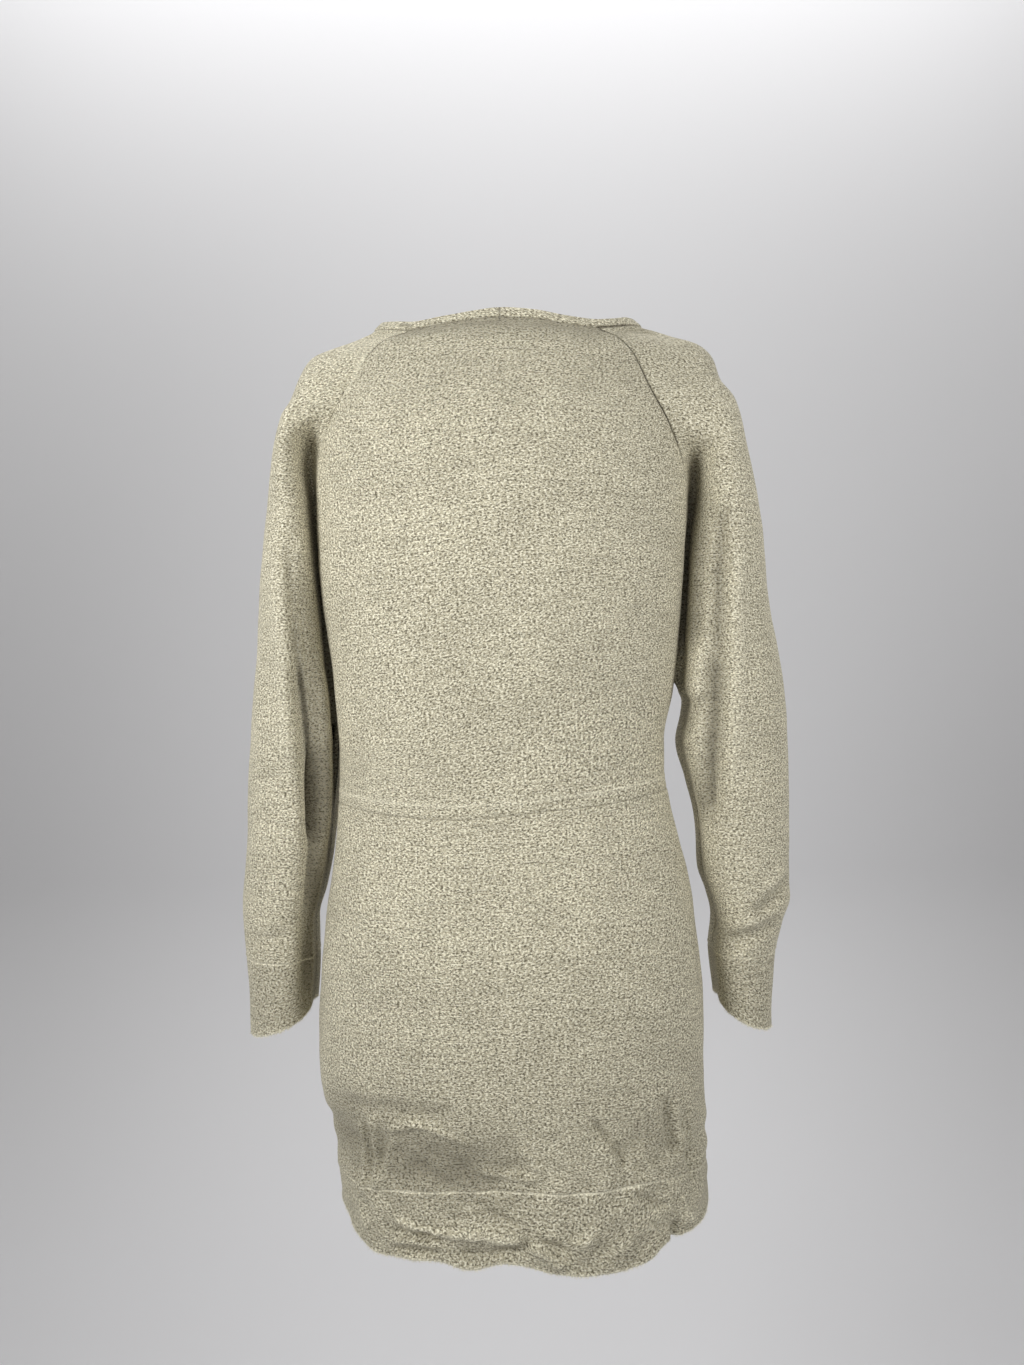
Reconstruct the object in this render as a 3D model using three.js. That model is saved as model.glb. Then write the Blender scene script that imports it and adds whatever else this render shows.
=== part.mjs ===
// A knitted sweater dress with raglan batwing sleeves, hollow and filled out as worn.
// Millimetres. X runs to the wearer's right, Y to the garment's front and Z up.
// The origin lies between the shoulders, at the height where the dress hangs on them.
import * as THREE from "three";

const WALL = 2; // thickness of the knitted cloth
const SEAM_GAP = 0.3; // between two pieces that are sewn together
const UNDERARM_CLEARANCE = 0.6; // between a sleeve's lowest seam point and the body
const NECK_BAND = 8; // height of the band round the neck
const NECK_BAND_RISE = 0.35; // how much more steeply the band stands than the cloth below it
const CLOTH = { color: 0xbeb69a, roughness: 0.95, metalness: 0 };

const BACK_COLUMNS = 16;
const FRONT_COLUMNS = 12;
const SLEEVE_COLUMNS = 28; // two for each stretch between the knots of a sleeve's section
const UNDERARM_TURN = 40; // length over which the underarm seam moves to the middle of the arm
const BAND_SLOPE_ROW = 3; // row of the pieces below that gives the neck band its slope
const WEB_FOLD = 0.62; // where the cloth turns back between body and arm, as a share of the gap
const FRONT_DIP = 0.35; // depth of that fold on the front, as a share of the back's
const FOLD_TOP = { left: -84, right: -102 }; // height at which the cloth begins to fold in
const FOLD_GROWTH = 34; // and how far below that the fold has its full depth
const NECK_SHARE = 0.03; // share of the way to the underarm over which a sleeve leaves the neckline
const UNDERARM_SHARE = 0.06; // and over which it parts from the body
const UNDERARM = { left: -385, right: -333 }; // height of the point where sleeve and side seams meet
const CUFF_SEAM = -580;
const CUFF_EDGE = { middle: -635, tilt: 16 }; // lower on the outer side of the arm
const SEAM_ROWS = [0, 0.03, 0.06, 0.1, 0.15, 0.21, 0.28, 0.36, 0.46, 0.57, 0.69, 0.82, 0.94, 1];
const BODICE_ROWS = 4; // from the underarm to the waist seam
const SKIRT_ROWS = 9;
const HEM_ROWS = 3;
const CUFF_ROWS = 3;
const SLEEVE_ROWS = [0.03, 0.06, 0.12, 0.19, 0.27, 0.36, 0.45, 0.54, 0.63, 0.71, 0.78, 0.85, 0.93, 1];

// Body of the dress, a row for each height: how far it reaches left, right, back and front.
const TRUNK = [
  { height: 0, left: 117, right: 122, back: 66, front: 60 },
  { height: -20, left: 128, right: 132, back: 74, front: 70 },
  { height: -50, left: 150, right: 152, back: 86, front: 84 },
  { height: -107, left: 170, right: 166, back: 101, front: 104 },
  { height: -144, left: 176, right: 168, back: 105, front: 114 },
  { height: -218, left: 173, right: 162, back: 104, front: 124 },
  { height: -273, left: 168, right: 157, back: 100, front: 122 },
  { height: -338, left: 160, right: 149, back: 95, front: 108 },
  { height: -386, left: 157, right: 140, back: 90, front: 93 },
  { height: -411, left: 157, right: 140, back: 88, front: 87 },
  { height: -441, left: 158, right: 145, back: 88, front: 85 },
  { height: -478, left: 162, right: 153, back: 93, front: 88 },
  { height: -531, left: 169, right: 164, back: 106, front: 95 },
  { height: -590, left: 175, right: 170, back: 116, front: 100 },
  { height: -641, left: 179, right: 172, back: 119, front: 101 },
  { height: -681, left: 177, right: 171, back: 118, front: 101 },
  { height: -731, left: 166, right: 172, back: 116, front: 101 },
  { height: -768, left: 162, right: 174, back: 117, front: 102 },
  { height: -805, left: 159, right: 174, back: 118, front: 103 },
  { height: -830, left: 156, right: 168, back: 118, front: 103 },
];
const TRUNK_SQUARENESS = 0.92; // 1 is an ellipse, less is squarer

// Edges round the body, a row for each angle from the middle of the back, left sides negative.
const EDGES = [
  { angle: -180, neck: -72, waist: -433, hemSeam: -762, hem: -812 },
  { angle: -135, neck: -40, waist: -436, hemSeam: -763, hem: -806 },
  { angle: -90, neck: -1, waist: -437, hemSeam: -762, hem: -792 },
  { angle: -69, neck: -5, waist: -438, hemSeam: -761, hem: -794 },
  { angle: -48, neck: -12, waist: -442, hemSeam: -759, hem: -811 },
  { angle: -36, neck: -16, waist: -444, hemSeam: -755, hem: -809 },
  { angle: -22, neck: -14, waist: -446, hemSeam: -752, hem: -806 },
  { angle: -12, neck: -11, waist: -446, hemSeam: -750, hem: -810 },
  { angle: -3, neck: -9, waist: -444, hemSeam: -749, hem: -804 },
  { angle: 10, neck: -11, waist: -440, hemSeam: -750, hem: -815 },
  { angle: 22, neck: -15, waist: -438, hemSeam: -751, hem: -819 },
  { angle: 34, neck: -17, waist: -436, hemSeam: -751, hem: -817 },
  { angle: 46, neck: -14, waist: -433, hemSeam: -753, hem: -803 },
  { angle: 60, neck: -8, waist: -430, hemSeam: -757, hem: -804 },
  { angle: 90, neck: -2, waist: -428, hemSeam: -760, hem: -799 },
  { angle: 135, neck: -40, waist: -430, hemSeam: -762, hem: -808 },
  { angle: 180, neck: -72, waist: -433, hemSeam: -762, hem: -812 },
];

// Raglan seams, a row for each share of the way from the neck to the underarm: their angle from the
// middle of the back, and so from the middle of the front.
const RAGLAN = [
  { share: 0, left: 38, right: 36 },
  { share: 0.03, left: 49, right: 42 },
  { share: 0.06, left: 52, right: 45 },
  { share: 0.1, left: 54, right: 47 },
  { share: 0.18, left: 62, right: 50 },
  { share: 0.28, left: 69, right: 57 },
  { share: 0.38, left: 74, right: 65 },
  { share: 0.5, left: 78, right: 73 },
  { share: 0.7, left: 82, right: 79 },
  { share: 0.94, left: 85.5, right: 85 },
  { share: 1, left: 90, right: 90 },
];

// Sleeves, a row for each height. The seam is the underarm one, the inner edge rolls towards the
// body at the depth given by roll, and dip is how much further in than the seam the cloth folds
// between body and arm.
const SLEEVES = {
  left: [
    { height: 0, seam: 0, inner: 100, outer: 118, roll: -46, dip: 6, back: -30, front: 28 },
    { height: -18, seam: 0, inner: 100, outer: 141, roll: -42, dip: 8, back: -25, front: 24 },
    { height: -27, seam: 0, inner: 112, outer: 162, roll: -47, dip: 7, back: -31, front: 30 },
    { height: -35, seam: 0, inner: 125, outer: 178, roll: -51, dip: 4, back: -35, front: 34 },
    { height: -53, seam: 0, inner: 148, outer: 189, roll: -56, dip: -2, back: -41, front: 40 },
    { height: -77, seam: 0, inner: 170, outer: 197, roll: -55, dip: -6, back: -47, front: 46 },
    { height: -91, seam: 0, inner: 180, outer: 204, roll: -50, dip: 1, back: -50, front: 49 },
    { height: -122, seam: 0, inner: 183, outer: 211, roll: -43, dip: 22, back: -55, front: 54 },
    { height: -166, seam: 0, inner: 180, outer: 218, roll: -37, dip: 27, back: -56, front: 57 },
    { height: -206, seam: 0, inner: 177, outer: 223, roll: -34, dip: 25, back: -56, front: 59 },
    { height: -255, seam: 0, inner: 174, outer: 228, roll: -33, dip: 16, back: -55, front: 60 },
    { height: -309, seam: 0, inner: 169, outer: 232, roll: -33, dip: 8, back: -53, front: 60 },
    { height: -344, seam: 157, inner: 165, outer: 236, roll: -33, dip: 4, back: -51, front: 60 },
    { height: -385, seam: 158, inner: 163, outer: 239, roll: -31, dip: -6, back: -49, front: 60 },
    { height: -437, seam: 163, inner: 164, outer: 243, roll: -26, dip: -10, back: -46, front: 60 },
    { height: -483, seam: 168, inner: 169, outer: 246, roll: -20, dip: -10, back: -42, front: 60 },
    { height: -520, seam: 176, inner: 177, outer: 248, roll: -14, dip: -9, back: -38, front: 60 },
    { height: -548, seam: 183, inner: 184, outer: 249, roll: -12, dip: -8, back: -34, front: 60 },
    { height: -582, seam: 183, inner: 184, outer: 249, roll: -10, dip: -8, back: -30, front: 58 },
    { height: -610, seam: 185, inner: 186, outer: 247, roll: -9, dip: -8, back: -27, front: 57 },
    { height: -655, seam: 187, inner: 188, outer: 245, roll: -8, dip: -8, back: -25, front: 56 },
  ],
  right: [
    { height: 0, seam: 0, inner: 104, outer: 123, roll: -46, dip: 6, back: -30, front: 28 },
    { height: -19, seam: 0, inner: 105, outer: 153, roll: -42, dip: 8, back: -25, front: 24 },
    { height: -28, seam: 0, inner: 118, outer: 181, roll: -47, dip: 7, back: -31, front: 30 },
    { height: -40, seam: 0, inner: 135, outer: 191, roll: -53, dip: 3, back: -37, front: 36 },
    { height: -60, seam: 0, inner: 148, outer: 198, roll: -57, dip: -2, back: -45, front: 44 },
    { height: -79, seam: 0, inner: 158, outer: 211, roll: -58, dip: -6, back: -50, front: 49 },
    { height: -97, seam: 0, inner: 166, outer: 215, roll: -57, dip: -4, back: -53, front: 52 },
    { height: -121, seam: 0, inner: 171, outer: 220, roll: -50, dip: 8, back: -57, front: 57 },
    { height: -148, seam: 0, inner: 172, outer: 226, roll: -41, dip: 26, back: -59, front: 61 },
    { height: -185, seam: 0, inner: 170, outer: 231, roll: -35, dip: 26, back: -57, front: 63 },
    { height: -222, seam: 0, inner: 167, outer: 235, roll: -34, dip: 19, back: -55, front: 63 },
    { height: -260, seam: 0, inner: 164, outer: 240, roll: -34, dip: 12, back: -53, front: 63 },
    { height: -305, seam: 0, inner: 161, outer: 247, roll: -34, dip: 5, back: -51, front: 62 },
    { height: -333, seam: 150, inner: 160, outer: 251, roll: -33, dip: -6, back: -50, front: 62 },
    { height: -341, seam: 155, inner: 161, outer: 252, roll: -32, dip: -14, back: -50, front: 62 },
    { height: -350, seam: 163, inner: 164, outer: 253, roll: -28, dip: -15, back: -49, front: 62 },
    { height: -363, seam: 163, inner: 162, outer: 254, roll: -24, dip: -14, back: -49, front: 62 },
    { height: -387, seam: 157, inner: 157, outer: 255, roll: -22, dip: -11, back: -48, front: 62 },
    { height: -424, seam: 165, inner: 165, outer: 256, roll: -20, dip: -10, back: -46, front: 62 },
    { height: -465, seam: 174, inner: 173, outer: 256, roll: -17, dip: -9, back: -43, front: 62 },
    { height: -507, seam: 177, inner: 176, outer: 256, roll: -13, dip: -8, back: -41, front: 63 },
    { height: -530, seam: 183, inner: 183, outer: 256, roll: -12, dip: -8, back: -40, front: 62 },
    { height: -553, seam: 188, inner: 187, outer: 248, roll: -12, dip: -8, back: -36, front: 60 },
    { height: -582, seam: 184, inner: 184, outer: 242, roll: -10, dip: -8, back: -31, front: 57 },
    { height: -610, seam: 187, inner: 187, outer: 241, roll: -9, dip: -8, back: -28, front: 56 },
    { height: -655, seam: 190, inner: 190, outer: 238, roll: -8, dip: -8, back: -26, front: 55 },
  ],
};

// The largest folds: soft troughs, or ridges where the depth is negative, that run from one place
// to the other on the back (face -1) or the front (face 1).
const FOLDS = [
  { name: "left sleeve", face: -1, x: -193, z: -225, toX: -181, toZ: -338, depth: 7, width: 9 },
  { name: "left sleeve low", face: -1, x: -181, z: -338, toX: -170, toZ: -478, depth: 10, width: 9 },
  { name: "right sleeve", face: -1, x: 186, z: -215, toX: 188, toZ: -300, depth: 6, width: 10 },
  { name: "right sleeve low", face: -1, x: 187, z: -300, toX: 175, toZ: -450, depth: 11, width: 10 },
  { name: "right forearm", face: -1, x: 250, z: -516, toX: 214, toZ: -540, depth: 5, width: 8 },
  { name: "right wrist", face: -1, x: 186, z: -570, toX: 236, toZ: -548, depth: 5, width: 8 },
  { name: "left hip", face: -1, x: -160, z: -712, toX: -96, toZ: -700, depth: 3, width: 12 },
  { name: "left sleeve front", face: 1, x: -196, z: -220, toX: -178, toZ: -430, depth: 9, width: 11 },
  { name: "right sleeve front", face: 1, x: 190, z: -210, toX: 184, toZ: -440, depth: 9, width: 11 },
  { name: "right forearm front", face: 1, x: 246, z: -505, toX: 200, toZ: -545, depth: 5, width: 10 },
];
const FOLD_END = 0.22; // share of a fold's length over which each end runs out

const SIDES = { left: -1, right: 1 };

// Smooth curve through one column of a table, read by its first column.
function column(table, name) {
  const key = Object.keys(table[0])[0];
  const rows = [...table].sort((a, b) => a[key] - b[key]);
  const slope = rows.slice(1).map((row, i) => (row[name] - rows[i][name]) / (row[key] - rows[i][key]));
  const tangent = rows.map((_, i) => {
    const before = slope[i - 1];
    const after = slope[i];
    if (before === undefined || after === undefined || before * after <= 0) return 0;
    return (2 * before * after) / (before + after);
  });
  return (at) => {
    const last = rows.length - 1;
    if (at <= rows[0][key]) return rows[0][name];
    if (at >= rows[last][key]) return rows[last][name];
    const i = rows.findIndex((row) => row[key] > at) - 1;
    const span = rows[i + 1][key] - rows[i][key];
    const t = (at - rows[i][key]) / span;
    return (
      rows[i][name] * (1 + 2 * t) * (1 - t) ** 2 +
      rows[i + 1][name] * t * t * (3 - 2 * t) +
      span * (tangent[i] * t * (1 - t) ** 2 + tangent[i + 1] * t * t * (t - 1))
    );
  };
}

function columns(table) {
  const [, ...names] = Object.keys(table[0]);
  return Object.fromEntries(names.map((name) => [name, column(table, name)]));
}

const trunk = columns(TRUNK);
const edges = columns(EDGES);
const raglan = columns(RAGLAN);
const sleeves = { left: columns(SLEEVES.left), right: columns(SLEEVES.right) };

const mix = THREE.MathUtils.lerp;
const smooth = (t) => THREE.MathUtils.smoothstep(t, 0, 1);
const spread = (count) => Array.from({ length: count + 1 }, (_, i) => i / count);
const softPower = (value) => Math.sign(value) * Math.abs(value) ** TRUNK_SQUARENESS;

// A point of the body at an angle from the middle of the back, and a height.
function trunkPoint(angle, height) {
  const turn = THREE.MathUtils.degToRad(angle);
  const across = softPower(Math.sin(turn));
  const deep = softPower(Math.cos(turn));
  const width = across < 0 ? trunk.left(height) : trunk.right(height);
  const depth = deep > 0 ? trunk.back(height) : trunk.front(height);
  return new THREE.Vector3(width * across, -depth * deep, height);
}

const neckSeam = (angle) => edges.neck(angle) - NECK_BAND;

// Height of the line round the body that joins the two underarm points.
function underarmLine(angle) {
  return mix(UNDERARM.left, UNDERARM.right, smooth((Math.sin(THREE.MathUtils.degToRad(angle)) + 1) / 2));
}

// Height of a row above the underarms, from the neck seam at share 0 to the underarm line at 1.
const upperHeight = (angle, share) => mix(neckSeam(angle), underarmLine(angle), share);

function upperPoint(angle, share) {
  return trunkPoint(angle, upperHeight(angle, share));
}

// Angle round the body of a raglan seam, on the back or the front.
function seamAngle(side, isFront, share) {
  const fromMiddle = raglan[side](share);
  return SIDES[side] * (isFront ? 180 - fromMiddle : fromMiddle);
}

// The knots of a sleeve's section at one height, from the back seam round the arm to the front seam.
function sleeveKnots(side, heightAt, backSeam, frontSeam) {
  const at = sleeves[side];
  const knot = (share, alongArm, depthOf) => {
    const height = heightAt(share);
    const inner = at.inner(height);
    const x = inner + (at.outer(height) - inner) * alongArm;
    return new THREE.Vector3(SIDES[side] * x, depthOf(height), height);
  };
  const mirrored = (height, depth) => at.front(height) + at.back(height) - depth;
  const web = (share, seam, inwards) => {
    const height = heightAt(share);
    const x = mix(Math.abs(seam.x), at.inner(height), WEB_FOLD);
    return new THREE.Vector3(SIDES[side] * x, seam.y + inwards * at.dip(height), height);
  };
  const corner = (height, deepest) => mix(at.roll(height), deepest, 0.72);
  // Above the fold the cloth runs straight from the seam to the arm.
  const foldedIn = (seam, folded, arm) =>
    folded.map((point, i) => {
      const level = smooth((FOLD_TOP[side] - point.z) / FOLD_GROWTH);
      const flat = seam.clone().lerp(arm, (i + 1) / (folded.length + 1)).setZ(point.z);
      return flat.lerp(point, level);
    });
  const arm = [
    knot(0.31, 0.4, at.back),
    knot(0.4, 0.76, (h) => mix(at.back(h), at.front(h), 0.12)),
    knot(0.46, 0.95, (h) => mix(at.back(h), at.front(h), 0.32)),
    knot(0.5, 1, (h) => mix(at.back(h), at.front(h), 0.5)),
    knot(0.54, 0.95, (h) => mix(at.back(h), at.front(h), 0.68)),
    knot(0.6, 0.76, (h) => mix(at.back(h), at.front(h), 0.88)),
    knot(0.69, 0.4, at.front),
  ];
  const backFold = [
    web(0.08, backSeam, 1),
    knot(0.16, 0, at.roll),
    knot(0.23, 0.12, (h) => corner(h, at.back(h))),
  ];
  const frontFold = [
    web(0.92, frontSeam, -FRONT_DIP),
    knot(0.84, 0, (h) => mirrored(h, at.roll(h))),
    knot(0.77, 0.12, (h) => mirrored(h, corner(h, at.back(h)))),
  ];
  return [
    backSeam,
    ...foldedIn(backSeam, backFold, arm[0]),
    ...arm,
    ...foldedIn(frontSeam, frontFold, arm.at(-1)).reverse(),
    frontSeam,
  ];
}

function alongKnots(knots) {
  return new THREE.CatmullRomCurve3(knots, false, "centripetal").getPoints(SLEEVE_COLUMNS);
}

// One row of a sleeve above the underarm, which grows out of the neckline into the arm's own section.
function upperSleeveRow(side, share) {
  const backAngle = seamAngle(side, false, share);
  const frontAngle = seamAngle(side, true, share);
  const angleAt = (t) => mix(backAngle, frontAngle, t);
  const heightAt = (t) => upperHeight(angleAt(t), share);
  const parting = SIDES[side] * UNDERARM_CLEARANCE * smooth(1 - (1 - share) / UNDERARM_SHARE);
  const [backSeam, frontSeam] = [backAngle, frontAngle].map((angle) => upperPoint(angle, share));
  backSeam.x += parting;
  frontSeam.x += parting;
  const arm = alongKnots(sleeveKnots(side, heightAt, backSeam, frontSeam));
  const leaving = smooth(share / NECK_SHARE);
  return arm.map((point, i) => upperPoint(angleAt(i / SLEEVE_COLUMNS), share).lerp(point, leaving));
}

// One row of a sleeve below the underarm: share 0 is the underarm and 1 the edge asked for.
function lowerSleeveRow(side, share, from, edgeAt) {
  const at = sleeves[side];
  const heightAt = (t) => mix(from, edgeAt(t), share);
  const height = heightAt(0);
  const middle = (at.back(height) + at.front(height)) / 2;
  const turned = smooth((UNDERARM[side] - height) / UNDERARM_TURN);
  const seam = new THREE.Vector3(SIDES[side] * at.seam(height), middle * turned, height);
  return alongKnots(sleeveKnots(side, heightAt, seam, seam.clone()));
}

function sleeveGrid(side) {
  const upper = SEAM_ROWS.map((share) => upperSleeveRow(side, share));
  const lower = SLEEVE_ROWS.map((share) => lowerSleeveRow(side, share, UNDERARM[side], () => CUFF_SEAM));
  return [...upper, ...lower].map((row) => sameWayRound(side, row));
}

// Every grid's columns run the same way round as seen from above, so the left arm's are turned.
const sameWayRound = (side, row) => (side === "left" ? [...row].reverse() : row);

// The cuff's lower edge is lowest on the outside of the arm, half way round the section.
function cuffGrid(side) {
  const edgeAt = (t) => CUFF_EDGE.middle + CUFF_EDGE.tilt * Math.cos(2 * Math.PI * t);
  return spread(CUFF_ROWS).map((share) =>
    sameWayRound(side, lowerSleeveRow(side, share, CUFF_SEAM, edgeAt)).slice(0, -1),
  );
}

// Angles of a body panel's columns from its left edge to its right, on the back or the front.
function panelAngles(isFront, share, count) {
  const left = seamAngle("left", isFront, share);
  const right = seamAngle("right", isFront, share);
  const [from, to] = isFront ? [right, left + 360] : [left, right];
  return spread(count).map((t) => mix(from, to, t));
}

const inHalfTurn = (angle) => (angle > 180 ? angle - 360 : angle);

function bodiceGrid(isFront, count) {
  const upper = SEAM_ROWS.map((share) =>
    panelAngles(isFront, share, count).map((angle) => upperPoint(inHalfTurn(angle), share)),
  );
  const lower = bandGrid(isFront, count, BODICE_ROWS, underarmLine, edges.waist).slice(1);
  return [...upper, ...lower];
}

// A panel between two edges that run round half the body.
function bandGrid(isFront, count, rows, upperEdge, lowerEdge) {
  return spread(rows).map((share) =>
    panelAngles(isFront, 1, count).map((wide) => {
      const angle = inHalfTurn(wide);
      return trunkPoint(angle, mix(upperEdge(angle), lowerEdge(angle), share));
    }),
  );
}

// The neck band carries on the slope of the back, the sleeves and the front, in one ring.
function neckGrid(back, front, sleeveLeft, sleeveRight) {
  const panels = [back, sleeveRight, front, sleeveLeft];
  const rowOf = (r) => panels.flatMap((grid) => grid[r].slice(0, -1));
  const ring = rowOf(0);
  const below = rowOf(BAND_SLOPE_ROW);
  const top = ring.map((point, i) => {
    const slope = minus(point, below[i]).normalize();
    slope.z += NECK_BAND_RISE;
    return point.clone().addScaledVector(slope.normalize(), NECK_BAND);
  });
  return [top, ring];
}

// Push of the folds on a point whose outward direction is known.
function foldDepth(point, outward) {
  let total = 0;
  for (const fold of FOLDS) {
    const along = new THREE.Vector2(fold.toX - fold.x, fold.toZ - fold.z);
    const offset = new THREE.Vector2(point.x - fold.x, point.z - fold.z);
    const share = offset.dot(along) / along.lengthSq();
    const across = Math.abs(offset.cross(along)) / along.length();
    const facing = Math.max(0, outward.y * fold.face);
    const ends = smooth((share + FOLD_END / 2) / FOLD_END) * smooth((1 + FOLD_END / 2 - share) / FOLD_END);
    total += fold.depth * Math.exp(-((across / fold.width) ** 2)) * ends * smooth(facing * 1.6);
  }
  return total;
}

// A piece is a grid of points with its rows downwards. A ring's last column meets its first.
const piece = (name, grid, ring = false) => ({ name, grid, ring });

function cutPieces() {
  const back = bodiceGrid(false, BACK_COLUMNS);
  const front = bodiceGrid(true, FRONT_COLUMNS);
  const left = sleeveGrid("left");
  const right = sleeveGrid("right");
  const skirt = (isFront, count) => bandGrid(isFront, count, SKIRT_ROWS, edges.waist, edges.hemSeam);
  const hem = (isFront, count) => bandGrid(isFront, count, HEM_ROWS, edges.hemSeam, edges.hem);
  return [
    piece("neck_band", neckGrid(back, front, left, right), true),
    piece("back_bodice", back),
    piece("front_bodice", front),
    piece("sleeve_left", left),
    piece("sleeve_right", right),
    piece("cuff_left", cuffGrid("left"), true),
    piece("cuff_right", cuffGrid("right"), true),
    piece("skirt_back", skirt(false, BACK_COLUMNS)),
    piece("skirt_front", skirt(true, FRONT_COLUMNS)),
    piece("hem_back", hem(false, BACK_COLUMNS)),
    piece("hem_front", hem(true, FRONT_COLUMNS)),
  ];
}

const placeKey = (point) => [point.x, point.y, point.z].map((value) => value.toFixed(2)).join(" ");
const minus = (a, b) => new THREE.Vector3().subVectors(a, b);

// Outward direction of one grid point, from the faces round it.
function gridNormal({ grid, ring }, r, c) {
  const columnsInRow = grid[r].length;
  const inRange = (i) => THREE.MathUtils.clamp(i, 0, columnsInRow - 1);
  const wrap = (i) => (ring ? (i + columnsInRow) % columnsInRow : inRange(i));
  const normal = new THREE.Vector3();
  for (const down of [-1, 0]) {
    for (const along of [-1, 0]) {
      const [r0, r1] = [r + down, r + down + 1].map((i) => THREE.MathUtils.clamp(i, 0, grid.length - 1));
      const [c0, c1] = [wrap(c + along), wrap(c + along + 1)];
      const diagonal = minus(grid[r1][c1], grid[r0][c0]);
      normal.add(diagonal.cross(minus(grid[r0][c1], grid[r1][c0])));
    }
  }
  return normal.normalize();
}

// Direction from an edge point into its own piece, or nothing for a point inside the piece.
function inwardStep({ grid, ring }, r, c) {
  const last = grid[r].length - 1;
  const nextRow = r === 0 ? 1 : r === grid.length - 1 ? r - 1 : r;
  const nextColumn = ring ? c : c === 0 ? 1 : c === last ? last - 1 : c;
  if (nextRow === r && nextColumn === c) return null;
  return minus(grid[nextRow][nextColumn], grid[r][c]).normalize();
}

// Gathers what each piece brings to a place, so that pieces that meet there share one direction.
function joinPlaces(pieces) {
  const places = new Map();
  for (const one of pieces) {
    one.grid.forEach((row, r) =>
      row.forEach((point, c) => {
        const key = placeKey(point);
        if (!places.has(key)) places.set(key, { normal: new THREE.Vector3(), steps: [] });
        const place = places.get(key);
        place.normal.add(gridNormal(one, r, c));
        place.steps.push({ one, r, c, step: inwardStep(one, r, c) });
      }),
    );
  }
  for (const place of places.values()) place.normal.normalize();
  return places;
}

// Direction in the cloth that leads away from the other pieces sewn on at this place.
function awayFromSeam(place, one, r, c) {
  const own = place.steps.find((entry) => entry.one === one && entry.r === r && entry.c === c);
  const others = place.steps.filter((entry) => entry !== own && entry.step);
  const away = new THREE.Vector3();
  if (!own.step || others.length === 0) return away;
  others.forEach((entry) => away.sub(entry.step));
  away.divideScalar(others.length).add(own.step);
  return away.addScaledVector(place.normal, -away.dot(place.normal)).normalize();
}

const mapGrid = (one, change) => one.grid.map((row, r) => row.map((point, c) => change(point, r, c)));

function foldPieces(pieces) {
  const places = joinPlaces(pieces);
  return pieces.map((one) => ({
    ...one,
    grid: mapGrid(one, (point) => {
      const { normal } = places.get(placeKey(point));
      return point.clone().addScaledVector(normal, -foldDepth(point, normal));
    }),
  }));
}

// A closed wall between an outer and an inner grid, with its edges turned over.
function wallGeometry(outer, inner, ring) {
  const rows = outer.length;
  const across = outer[0].length;
  const index = [];
  const at = (layer, r, c) => layer * rows * across + r * across + (c % across);
  const quad = (a, b, c, d) => index.push(a, b, c, a, c, d);
  const lastColumn = ring ? across : across - 1;
  for (let c = 0; c < lastColumn; c++) {
    for (let r = 0; r < rows - 1; r++) {
      quad(at(0, r, c), at(0, r + 1, c), at(0, r + 1, c + 1), at(0, r, c + 1));
      quad(at(1, r, c), at(1, r, c + 1), at(1, r + 1, c + 1), at(1, r + 1, c));
    }
    quad(at(0, 0, c), at(0, 0, c + 1), at(1, 0, c + 1), at(1, 0, c));
    quad(at(0, rows - 1, c + 1), at(0, rows - 1, c), at(1, rows - 1, c), at(1, rows - 1, c + 1));
  }
  for (let r = 0; r < rows - 1 && !ring; r++) {
    quad(at(0, r + 1, 0), at(0, r, 0), at(1, r, 0), at(1, r + 1, 0));
    quad(at(0, r, lastColumn), at(0, r + 1, lastColumn), at(1, r + 1, lastColumn), at(1, r, lastColumn));
  }
  const geometry = new THREE.BufferGeometry().setFromPoints([...outer.flat(), ...inner.flat()]);
  geometry.setIndex(index);
  geometry.computeVertexNormals();
  return geometry;
}

function sewnMesh(one, places) {
  const placed = (point, r, c, depth) => {
    const place = places.get(placeKey(point));
    return point
      .clone()
      .addScaledVector(awayFromSeam(place, one, r, c), SEAM_GAP / 2)
      .addScaledVector(place.normal, -depth);
  };
  const outer = mapGrid(one, (point, r, c) => placed(point, r, c, 0));
  const inner = mapGrid(one, (point, r, c) => placed(point, r, c, WALL));
  const mesh = new THREE.Mesh(wallGeometry(outer, inner, one.ring), new THREE.MeshStandardMaterial(CLOTH));
  mesh.name = one.name;
  return mesh;
}

const pieces = foldPieces(cutPieces());
const places = joinPlaces(pieces);
const dress = new THREE.Group();
dress.name = "sweater_dress";
pieces.forEach((one) => dress.add(sewnMesh(one, places)));

export default dress;
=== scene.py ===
"""A knitted sweater dress with raglan batwing sleeves, hollow and filled out as worn.

Lengths in the tables are millimetres: X to the wearer's right, Y to the garment's front, Z up.
Meshes are made in metres. Each cut piece is a thin knitted shell on its solid's own form.
"""

import math

import bpy
import numpy as np
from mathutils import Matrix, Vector


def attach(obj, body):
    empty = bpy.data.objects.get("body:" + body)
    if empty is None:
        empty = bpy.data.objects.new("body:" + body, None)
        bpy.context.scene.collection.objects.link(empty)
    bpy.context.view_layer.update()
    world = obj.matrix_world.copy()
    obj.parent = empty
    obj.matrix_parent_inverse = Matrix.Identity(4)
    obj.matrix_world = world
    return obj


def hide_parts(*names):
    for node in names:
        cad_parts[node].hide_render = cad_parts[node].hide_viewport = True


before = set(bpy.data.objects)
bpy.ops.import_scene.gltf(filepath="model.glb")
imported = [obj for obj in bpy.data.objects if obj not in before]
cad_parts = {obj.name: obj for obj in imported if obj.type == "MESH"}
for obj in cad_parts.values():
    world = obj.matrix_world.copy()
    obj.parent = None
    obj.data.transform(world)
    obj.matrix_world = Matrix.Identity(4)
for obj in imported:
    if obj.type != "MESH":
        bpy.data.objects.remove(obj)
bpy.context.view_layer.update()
MM = 0.001
BODY = "root"

# --- sizes of the cut ---

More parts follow.
